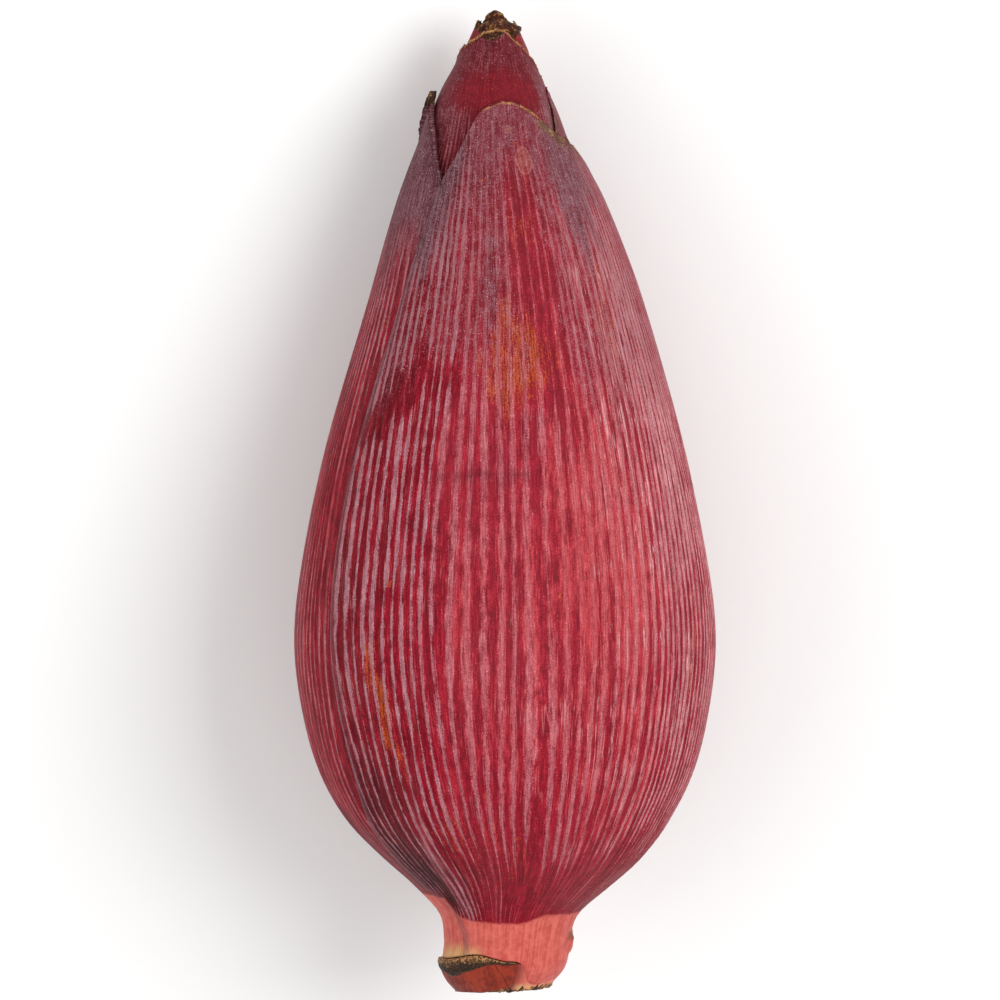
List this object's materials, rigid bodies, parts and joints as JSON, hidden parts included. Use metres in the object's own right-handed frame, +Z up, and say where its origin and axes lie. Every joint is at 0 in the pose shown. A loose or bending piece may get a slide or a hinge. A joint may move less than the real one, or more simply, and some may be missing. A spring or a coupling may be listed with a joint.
{
  "type": "banana blossom",
  "caption": "Pointed bud of large ribbed leathery bracts wrapped over one another in a spiral on a short cut stem, lying on its side.",
  "frame": {"origin": "on the table under the centre of the bounding box", "axes": "+Y towards the dried tip and -Y towards the cut stem, +X to the right of the front outer bract seen from above with the tip up, +Z up with the blossom lying on its side"},
  "size_m": [0.1128, 0.263, 0.1071],
  "materials": {
    "outer_bract_skin": "satin, waxy bloom",
    "upper_bract_skin": "satin, waxy bloom",
    "inner_bract_skin": "satin",
    "stem_flesh": "satin, moist"
  },
  "bodies": {
    "root": {"stem": "stem_flesh", "heart": "inner_bract_skin", "front_outer_bract": "outer_bract_skin", "left_outer_bract": "outer_bract_skin", "right_outer_bract": "outer_bract_skin", "upper_front_bract": "upper_bract_skin", "upper_back_bract": "upper_bract_skin", "right_inner_bract": "inner_bract_skin", "left_inner_bract": "inner_bract_skin"}
  },
  "joints": []
}
